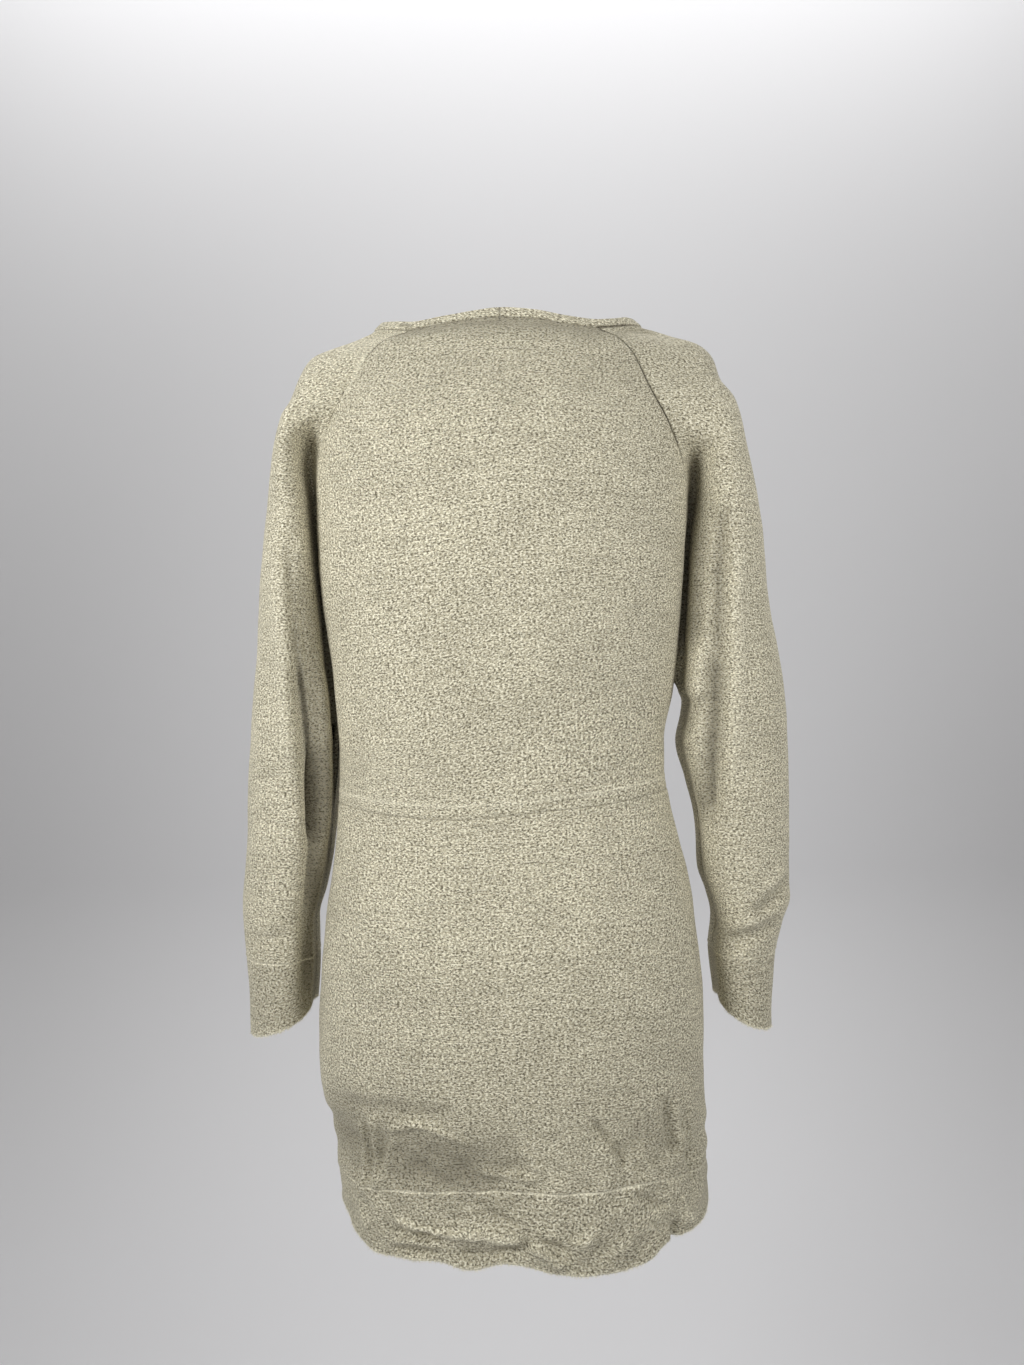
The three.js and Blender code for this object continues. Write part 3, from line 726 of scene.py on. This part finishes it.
def seam_depth(name, grid):
    distances = edge_distances(grid, name in RINGS)
    depth = np.zeros(grid.shape[:2])
    for edge, deep in edges_of(name, SEAMS).items():
        groove = deep * ridge(distances[edge], SEAM_WIDTH)
        if edge in ("left", "right") and name in RAGLAN_PIECES:
            groove = groove * raglan_strength(grid)
        depth = np.maximum(depth, groove)
    for kind, edge, distance, deep, width in SEAM_LINES:
        if kind in name:
            depth += deep * ridge(distances[edge] - distance, width)
    return depth


# --- marks: seams as dark lines, painted highlights where an edge stands proud, and painted shade and shadow ---

PAINTED_FOLD_SHADING = 0.036  # how much painted shade a trough gets and painted highlight a ridge, per millimetre of depth
MARK_WIDTH = 0.65
HIGHLIGHT_MARK_WIDTH = 1.0
# How dark each edge of a piece is at its seam, from 0 to 1, or how light, from 0 to -1; the light
# edges are painted highlights where the edge stands proud.
MARKS = {
    "neck_band": {"bottom": 0.6},
    "bodice": {"top": 0.8, "left": 0.9, "right": 0.9, "bottom": 0.4},
    "sleeve": {"top": 0.8, "left": 0.9, "right": 0.9, "bottom": -0.5},
    "cuff": {"top": -0.5, "bottom": -0.5},
    "skirt": {"top": 0.5, "left": 0.3, "right": 0.3, "bottom": -0.75},
    "hem": {"top": -0.75, "bottom": -0.5},
}
# Lines and painted shade that follow an edge: piece or kind, edge, distance, strength and width.
MARK_LINES = [
    # A painted highlight on the ridge above the waist seam.
    ("bodice", "bottom", 11, -0.3, 1.3),
    # Painted shade under the neck band, on the upper back and the right shoulder, on the cuffs, on
    # the low hem band and under the front's neck band.
    ("back_bodice", "top", 4, 0.5, 24),
    ("back_bodice", "top", 20, 0.18, 90),
    ("sleeve_right", "top", 40, 0.18, 65),
    ("cuff_left", "top", 30, 0.2, 45),
    ("cuff_right", "top", 30, 0.13, 45),
    ("hem_back", "bottom", 25, 0.07, 45),
    ("front_bodice", "top", 5, 0.4, 17),
    ("skirt", "bottom", 2.2, 0.2, 1.2),
]
# Strokes in the columns of the creases, with a strength for the depth: dark seam lines, painted
# shadow in gaps, painted shade in valleys and hollows, and a painted highlight.
MARK_STROKES = [
    ("middle of the neck band", -1, -4, -5, -4, -22, 0.8, 1.0, 0),
    ("shadow under the band, right", -1, 79, -25, 109, -18, 1, 0.9, 1),
    ("shadow under the band, left", -1, -92, -17.5, -80, -21, 0.9, 0.9, 0),
    ("left raglan, painted highlight", -1, -120, -40, -140, -78, -0.3, 2, 0),
    ("left valley, shade", -1, -187, -270, -172, -400, 0.2, 6, 0),
    ("left valley, low shade", -1, -173, -385, -173, -520, 0.34, 9, 0),
    ("left wrist, shade", -1, -172, -470, -186, -640, 0.4, 11, 0),
    ("right slot, shade", -1, 169, -130, 156, -300, 0.4, 6, 0),
    ("right valley, shade", -1, 181, -225, 183, -320, 0.15, 7, 0),
    ("right valley, low shade", -1, 183, -305, 170, -470, 0.26, 8, 0),
    ("right wrist, shade", -1, 181, -545, 187, -645, 0.3, 8, 0),
    ("low left shade", -1, -175, -722, -25, -736, 0.24, 32, 0),
    ("low right shade", -1, 95, -718, 165, -714, 0.09, 32, 0),
    ("shadow in the pocket opening", -1, 164, -545, 165, -556, 0.8, 2, 0),
    ("pocket line", -1, 160, -562, 163, -604, 0.4, 1.1, 0),
]
# The painted highlight along the hem seam is plain in its middle and fainter towards the sides.
HIGHLIGHT_MIDDLE = -8
# Distances from there at which it begins and ends fading, and the share that is left.
HIGHLIGHT_FADE = (95, 150, 0.45)


def highlight_strength(grid):
    start, end, faded = HIGHLIGHT_FADE
    return mix(1, faded, smooth((np.abs(grid[..., 0] - HIGHLIGHT_MIDDLE) - start) / (end - start)))


def stronger(first, second):
    return np.where(np.abs(second) > np.abs(first), second, first)


def seam_and_painted_light_marks(name, grid, normals):
    """How dark, up to 1, or how light, down to -1, each grid point is beside the plain knit: seams,
    painted shade and shadow, and painted highlights.
    """
    distances = edge_distances(grid, name in RINGS)
    marks = np.zeros(grid.shape[:2])
    for edge, strength in edges_of(name, MARKS).items():
        width = MARK_WIDTH if strength > 0 else HIGHLIGHT_MARK_WIDTH
        line = strength * ridge(distances[edge], width)
        if edge in ("left", "right") and name in RAGLAN_PIECES:
            line = line * raglan_strength(grid)
        if name.startswith(("skirt", "hem")) and strength < 0:
            line = line * highlight_strength(grid)
        marks = stronger(marks, line)
    for kind, edge, distance, strength, width in MARK_LINES:
        if kind in name:
            marks = stronger(marks, strength * ridge(distances[edge] - distance, width))
    for row in MARK_STROKES:
        marks = stronger(marks, stroke(row, grid, normals))
    # The creases' depth paints shade into their troughs and highlights onto their ridges.
    tone = PAINTED_FOLD_SHADING * crease_depth(name, grid, normals)
    return np.clip(marks + tone, -1, 1)


# --- meshes ---

RIM_STEPS = 3  # rows round a free edge, from the outer face to the inner one


def knit_map(grid, ring):
    """Place of each grid point in the flat knit: across from the middle column, and down."""
    if ring:
        grid = np.concatenate([grid, grid[:, :1]], axis=1)
    across = np.linalg.norm(np.diff(grid, axis=1), axis=2)
    down = np.linalg.norm(np.diff(grid, axis=0), axis=2)
    u = np.concatenate([np.zeros((len(grid), 1)), np.cumsum(across, axis=1)], axis=1)
    u -= u[:, u.shape[1] // 2][:, None]
    v = np.concatenate([np.zeros((1, grid.shape[1])), np.cumsum(down, axis=0)])
    v = v.mean(axis=1, keepdims=True) * np.ones_like(u)
    return np.stack([u, -v], axis=-1) * MM


def rim(start, end, away):
    """Rows of a half circle from one edge to the other."""
    turns = [math.pi * step / (RIM_STEPS + 1) for step in range(1, RIM_STEPS + 1)]
    rows = []
    for turn in turns:
        rows.append(mix(start, end, (1 - math.cos(turn)) / 2) + away * math.sin(turn) * CLOTH / 2)
    return np.stack(rows)


def wall_rows(grid, normals):
    """Rows of a closed wall: down the outer face, round the edge and up the inner face."""
    inner = grid - normals * CLOTH
    low_rim = rim(grid[-1], inner[-1], unit(grid[-1] - grid[-2]))
    top_rim = rim(inner[0], grid[0], unit(grid[0] - grid[1]))
    return np.concatenate([grid, low_rim, inner[::-1], top_rim])


def wall_values(values):
    """Values of a grid, repeated on the rims and on the inner face as wall_rows lays them out."""
    low_rim = np.repeat(values[-1:], RIM_STEPS, axis=0)
    top_rim = np.repeat(values[:1], RIM_STEPS, axis=0)
    return np.concatenate([values, low_rim, values[::-1], top_rim])


def side_faces(face_rows, last_column):
    """Faces on the side edges, which join each outer point to the inner point behind it."""
    rows = []
    columns_of = []
    for side_column, flip in ((0, False), (last_column, True)):
        for row in range(face_rows - 1):
            behind = 2 * face_rows + RIM_STEPS - 1 - row
            face = [row + 1, row, behind, behind - 1]
            rows.append(face[::-1] if flip else face)
            columns_of.append([side_column] * 4)
    return np.array(rows), np.array(columns_of)


def wall_mesh(grid, normals, ring):
    """Points of a piece's wall, its faces and the place of their corners in the flat knit."""
    points = wall_rows(grid, normals)
    count, across = points.shape[:2]
    places = wall_values(knit_map(grid, ring))
    places = np.concatenate([places, places[:1]])
    columns_across = across if ring else across - 1
    row, col = (a.ravel() for a in np.meshgrid(range(count), range(columns_across), indexing="ij"))
    rows = np.stack([row, row + 1, row + 1, row], 1)
    cols = np.stack([col, col, col + 1, col + 1], 1)
    if not ring:
        side_rows, side_cols = side_faces(len(grid), across - 1)
        rows = np.concatenate([rows, side_rows])
        cols = np.concatenate([cols, side_cols])
    faces = rows % count * across + cols % across
    return points.reshape(-1, 3) * MM, faces, places[rows, cols]


# Loose fibres along the edges of the hem and the cuffs.
FIBRE_PIECES = ("hem_back", "hem_front", "cuff_left", "cuff_right")
FIBRES_PER_MM = 8
FIBRE_LENGTH = 4.0
SHORTEST_FIBRE = 0.3  # as a share of that
FIBRE_WIDTH = 0.13  # half the width at the root
FIBRE_SPREAD = 0.55  # how far the fibres lean away from straight down
FIBRE_SEED = 7
FIBRE_TONES = 700.0  # changes of their tone to a metre


def edge_fibres(grid, normals):
    """Thin triangles that stick out of the lower edge, each from two root points to a tip."""
    rng = np.random.default_rng(FIBRE_SEED)
    edge = grid[-1] - normals[-1] * CLOTH / 2
    down = unit(grid[-1] - grid[-2])
    length = np.linalg.norm(np.diff(edge, axis=0), axis=1).sum()
    place = rng.uniform(0, len(edge) - 1, int(length * FIBRES_PER_MM))
    at = place.astype(int)
    root = mix(edge[at], edge[at + 1], (place - at)[:, None])
    way = unit(down[at] + rng.normal(0, FIBRE_SPREAD, root.shape))
    side = np.cross(way, normals[-1][at])
    side *= FIBRE_WIDTH / np.linalg.norm(side, axis=1, keepdims=True)
    tip = root + way * FIBRE_LENGTH * rng.uniform(SHORTEST_FIBRE, 1, (len(root), 1))
    return np.stack([root - side, root + side, tip], axis=1).reshape(-1, 3)


# --- the knit ---


def colour(red, green, blue):
    """A linear colour from values of 0 to 255, none of them close to black."""
    return (*(((value / 255 + 0.055) / 1.055) ** 2.4 for value in (red, green, blue)), 1)


class Nodes:
    """Short calls for building a node tree."""

    def __init__(self, tree):
        self.tree = tree
        tree.nodes.clear()

    def feed(self, socket, value):
        """Link another node's output to a socket, or set its value."""
        if isinstance(value, bpy.types.NodeSocket):
            self.tree.links.new(value, socket)
        else:
            socket.default_value = value

    def add(self, kind, inputs=None, **settings):
        node = self.tree.nodes.new(kind)
        for name, value in settings.items():
            setattr(node, name, value)
        for name, value in (inputs or {}).items():
            self.feed(node.inputs[name], value)
        return node

    def math(self, operation, first, second=0.0, clamp=False):
        node = self.add("ShaderNodeMath", operation=operation, use_clamp=clamp)
        self.feed(node.inputs[0], first)
        self.feed(node.inputs[1], second)
        return node.outputs[0]

    def times(self, first, second, clamp=False):
        return self.math("MULTIPLY", first, second, clamp)

    def blend(self, factor, first, second):
        node = self.add("ShaderNodeMix", data_type="RGBA")
        for index, value in ((0, factor), (6, first), (7, second)):
            self.feed(node.inputs[index], value)
        return node.outputs[2]

    def ramp(self, value, low, high):
        """0 below low, 1 above high."""
        node = self.add("ShaderNodeMapRange", {"Value": value, "From Min": low, "From Max": high})
        node.interpolation_type = "SMOOTHSTEP"
        return node.outputs[0]


def new_material(name):
    material = bpy.data.materials.new(name)
    material.use_nodes = True
    return material, Nodes(material.node_tree)


KNIT_DARK = colour(84, 78, 60)
KNIT_MIDDLE = colour(195, 188, 163)
KNIT_LIGHT_AND_HIGHLIGHT = colour(255, 250, 227)
SEAM_AND_SHADE_DARK = colour(52, 46, 34)
SHEEN_TINT = colour(235, 230, 215)

# Flecks of fibre, laid over each other in this order: how many to a metre, the same along the rows
# as a share of that, detail, shift, where they begin and are full, strength and colour.
FLECK_COLUMNS = "name count alongRows detail shift low high strength colour".split()
FLECKS = [
    ("dark", 680, 0.6, 1.5, 7.7, 0.49, 0.63, 0.85, KNIT_DARK),
    ("coarse", 360, 0.28, 2.0, 15.3, 0.50, 0.72, 0.34, KNIT_DARK),
    ("light", 740, 0.6, 1.5, 3.1, 0.50, 0.63, 0.85, KNIT_LIGHT_AND_HIGHLIGHT),
    ("streaks", 300, 0.1, 1.0, 21.9, 0.40, 0.70, 0.16, KNIT_DARK),
    ("cloudy", 24, 0.7, 2.0, 11.3, 0.35, 0.70, 0.08, KNIT_DARK),
]
SHIFT_SLANT = 0.7  # how far a fleck's pattern moves down for its shift across
FLECK_ROUGHNESS = 0.6

DARKEST_MARK = 0.85
MARK_BETWEEN = 0.75  # strength of a mark away from the light flecks
MARK_ON_LIGHT = 0.5  # and how much more it has on them

# The stitches, in metres, as bump.
STITCH_WIDTH = 0.0024
STITCH_HEIGHT = 0.0018
STITCH_SLANT = 1.4  # how far the two legs of a stitch lean
WALE_HEIGHT = 0.25
ROW_HEIGHT = 0.15
FLECK_HEIGHT = 0.45
BUMP_STRENGTH = 0.55
BUMP_DEPTH = 0.0005


def fleck(nodes, flat, row):
    """A mask of flecks, 1 on them and 0 between them."""
    scale = (row["count"] * row["alongRows"], row["count"], 1)
    shift = (row["shift"], row["shift"] * SHIFT_SLANT, 0)
    moved = nodes.add("ShaderNodeMapping", {"Vector": flat, "Location": shift, "Scale": scale})
    inputs = {"Vector": moved.outputs[0], "Scale": 1.0, "Detail": row["detail"]}
    inputs["Roughness"] = FLECK_ROUGHNESS
    noise = nodes.add("ShaderNodeTexNoise", inputs, noise_dimensions="2D")
    return nodes.ramp(noise.outputs["Fac"], row["low"], row["high"])


def stitch_bump(nodes, flat, light, dark):
    """The stitches' own relief, with the light fibres above the dark ones."""
    scale = (2 * math.pi / STITCH_WIDTH, 2 * math.pi / STITCH_HEIGHT, 1)
    stitched = nodes.add("ShaderNodeMapping", {"Vector": flat, "Scale": scale})
    parts = nodes.add("ShaderNodeSeparateXYZ", {"Vector": stitched.outputs[0]})
    wale = nodes.math("SINE", parts.outputs[0])
    lean = nodes.times(nodes.math("ABSOLUTE", wale), STITCH_SLANT)
    row = nodes.math("SINE", nodes.math("ADD", parts.outputs[1], lean))
    stitch = nodes.math("ADD", nodes.times(wale, WALE_HEIGHT), nodes.times(row, ROW_HEIGHT))
    nap = nodes.times(nodes.math("SUBTRACT", light, dark), FLECK_HEIGHT)
    height = nodes.math("ADD", stitch, nap)
    settings = {"Height": height, "Strength": BUMP_STRENGTH, "Distance": BUMP_DEPTH}
    return nodes.add("ShaderNodeBump", settings).outputs[0]


def knit_material():
    """Heathered fine knit: flecks of darker and lighter fibre along the rows, and soft stitches."""
    material, nodes = new_material("heathered knit")
    flat = nodes.add("ShaderNodeUVMap", uv_map="knit").outputs[0]
    base = KNIT_MIDDLE
    masks = {}
    for values in FLECKS:
        row = dict(zip(FLECK_COLUMNS, values))
        mask = fleck(nodes, flat, row)
        base = nodes.blend(nodes.times(mask, row["strength"]), base, row["colour"])
        masks[row["name"]] = mask

    # The mark attribute darkens for seams and for painted shade and shadow, and lightens for
    # painted highlights.
    mark = nodes.add("ShaderNodeAttribute", attribute_name="mark").outputs["Fac"]
    uneven = nodes.math("ADD", nodes.times(masks["light"], MARK_ON_LIGHT), MARK_BETWEEN)
    mark = nodes.times(mark, uneven)
    # Positive marks blend towards the dark of seams and painted shade, and negative ones towards
    # the light colour as a painted highlight.
    base = nodes.blend(nodes.times(mark, DARKEST_MARK, clamp=True), base, SEAM_AND_SHADE_DARK)
    base = nodes.blend(nodes.times(mark, -1.0, clamp=True), base, KNIT_LIGHT_AND_HIGHLIGHT)

    shader = nodes.add(
        "ShaderNodeBsdfPrincipled",
        {
            "Base Color": base,
            "Roughness": 0.95,
            "Normal": stitch_bump(nodes, flat, masks["light"], masks["dark"]),
            "Sheen Weight": 0.25,
            "Sheen Roughness": 0.6,
            "Sheen Tint": SHEEN_TINT,
            "Specular IOR Level": 0.2,
        },
    )
    nodes.add("ShaderNodeOutputMaterial", {"Surface": shader.outputs[0]})
    return material


# --- the dress ---


def knit_object(name, points, faces, material):
    mesh = bpy.data.meshes.new(name)
    mesh.from_pydata(points, [], faces)
    mesh.materials.append(material)
    piece = bpy.data.objects.new(name, mesh)
    bpy.context.scene.collection.objects.link(piece)
    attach(piece, BODY)
    return piece


def cloth_object(name, grid, normals, marks, material):
    points, faces, places = wall_mesh(grid, normals, name in RINGS)
    piece = knit_object(name + "_cloth", points, faces, material)
    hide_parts(name)
    mesh = piece.data
    layer = mesh.uv_layers.new(name="knit")
    layer.data.foreach_set("uv", places.ravel())
    # The mark attribute carries the seams' dark lines, painted shade and shadow, and painted
    # highlights.
    mark = mesh.attributes.new("mark", "FLOAT", "POINT")
    mark.data.foreach_set("value", wall_values(marks).ravel().astype(np.float32))
    mesh.polygons.foreach_set("use_smooth", np.ones(len(faces), bool))
    return piece


def fuzz_object(name, grid, normals, material):
    points = edge_fibres(grid, normals) * MM
    return knit_object(name + "_fuzz", points, np.arange(len(points)).reshape(-1, 3), material)


def fuzz_material():
    """Loose fibre ends, paler than the knit that they stand out of."""
    material, nodes = new_material("fibre ends")
    place = nodes.add("ShaderNodeNewGeometry").outputs["Position"]
    noise = nodes.add("ShaderNodeTexNoise", {"Vector": place, "Scale": FIBRE_TONES}).outputs["Fac"]
    tone = nodes.blend(nodes.ramp(noise, 0.35, 0.65), KNIT_MIDDLE, KNIT_LIGHT_AND_HIGHLIGHT)
    shader = nodes.add("ShaderNodeBsdfPrincipled", {"Base Color": tone, "Roughness": 0.9})
    nodes.add("ShaderNodeOutputMaterial", {"Surface": shader.outputs[0]})
    return material


def make_dress():
    material = knit_material()
    fibre = fuzz_material()
    grids = cut_pieces()
    normals = shared_normals(grids)
    shaped = {}
    for name, grid in grids.items():
        push = crease_depth(name, grid, normals[name]) - waves(grid, WAVES) + seam_depth(name, grid)
        shaped[name] = grid - normals[name] * push[..., None]
    normals = shared_normals(shaped)
    for name, grid in shaped.items():
        marks = seam_and_painted_light_marks(name, grids[name], normals[name])
        piece = cloth_object(name, grid, normals[name], marks, material)
        if name in FIBRE_PIECES:
            fuzz_object(name, grid, normals[name], fibre)


# --- stage, light and camera ---

# All in metres.
FLOOR = -1.38
FLOOR_REACH = 6.0  # to each side and behind the camera
WALL_BEHIND = 1.6
WALL_TOP = 4.0
SWEEP = 0.6  # radius of the curve between floor and wall
SWEEP_STEPS = 16
BACKDROP_COLOUR = colour(226, 226, 228)

LIGHT_COLUMNS = "name place aim size power spread".split()
LIGHTS = [
    ("key", (-1.05, -1.0, 0.1), (0, 0, -0.27), (0.55, 0.55), 4.6, 92),
    ("fill", (1.15, -1.05, 0.1), (0.1, 0, -0.27), (0.7, 0.7), 3.3, 92),
    ("backdrop light", (0, 0.9, 1.9), (0, 1.6, -0.6), (3.0, 0.8), 34, 180),
]
ROOM_COLOUR = (1.0, 0.98, 0.95, 1)
ROOM_STRENGTH = 0.28

CAMERA_PLACE = (0.0020, -1.030, -0.331)
CAMERA_ROLL = 0.857  # degrees
FOCAL_LENGTH = 29.54
SENSOR_WIDTH = 36


def stage():
    material = bpy.data.materials.new("pale backdrop")
    material.use_nodes = True
    shader = material.node_tree.nodes["Principled BSDF"]
    shader.inputs["Base Color"].default_value = BACKDROP_COLOUR
    shader.inputs["Roughness"].default_value = 0.9
    section = [(-FLOOR_REACH, FLOOR)]
    for step in range(SWEEP_STEPS + 1):
        turn = math.pi / 2 * step / SWEEP_STEPS
        outwards = WALL_BEHIND - SWEEP + SWEEP * math.sin(turn)
        section.append((outwards, FLOOR + SWEEP * (1 - math.cos(turn))))
    section.append((WALL_BEHIND, WALL_TOP))
    places = [(x, y, z) for y, z in section for x in (-FLOOR_REACH, FLOOR_REACH)]
    faces = [(2 * i, 2 * i + 1, 2 * i + 3, 2 * i + 2) for i in range(len(section) - 1)]
    mesh = bpy.data.meshes.new("backdrop")
    mesh.from_pydata(places, [], faces)
    mesh.polygons.foreach_set("use_smooth", np.ones(len(faces), bool))
    mesh.materials.append(material)
    backdrop = bpy.data.objects.new("backdrop", mesh)
    bpy.context.scene.collection.objects.link(backdrop)


def area_light(row):
    light = bpy.data.lights.new(row["name"], "AREA")
    light.shape = "RECTANGLE"
    light.size, light.size_y = row["size"]
    light.energy = row["power"]
    light.spread = math.radians(row["spread"])
    lamp = bpy.data.objects.new(row["name"], light)
    lamp.location = row["place"]
    towards = Vector(row["aim"]) - Vector(row["place"])
    lamp.rotation_euler = towards.to_track_quat("-Z", "Y").to_euler()
    bpy.context.scene.collection.objects.link(lamp)


def lighting():
    for values in LIGHTS:
        area_light(dict(zip(LIGHT_COLUMNS, values)))
    world = bpy.data.worlds.new("soft room")
    world.use_nodes = True
    background = world.node_tree.nodes["Background"]
    background.inputs["Color"].default_value = ROOM_COLOUR
    background.inputs["Strength"].default_value = ROOM_STRENGTH
    bpy.context.scene.world = world


def camera():
    lens = bpy.data.cameras.new("camera")
    lens.lens = FOCAL_LENGTH
    lens.sensor_width = SENSOR_WIDTH
    eye = bpy.data.objects.new("camera", lens)
    eye.location = CAMERA_PLACE
    eye.rotation_euler = (math.pi / 2, math.radians(CAMERA_ROLL), 0)
    bpy.context.scene.collection.objects.link(eye)
    bpy.context.scene.camera = eye


make_dress()
stage()
lighting()
camera()
bpy.context.scene.view_settings.view_transform = "Standard"
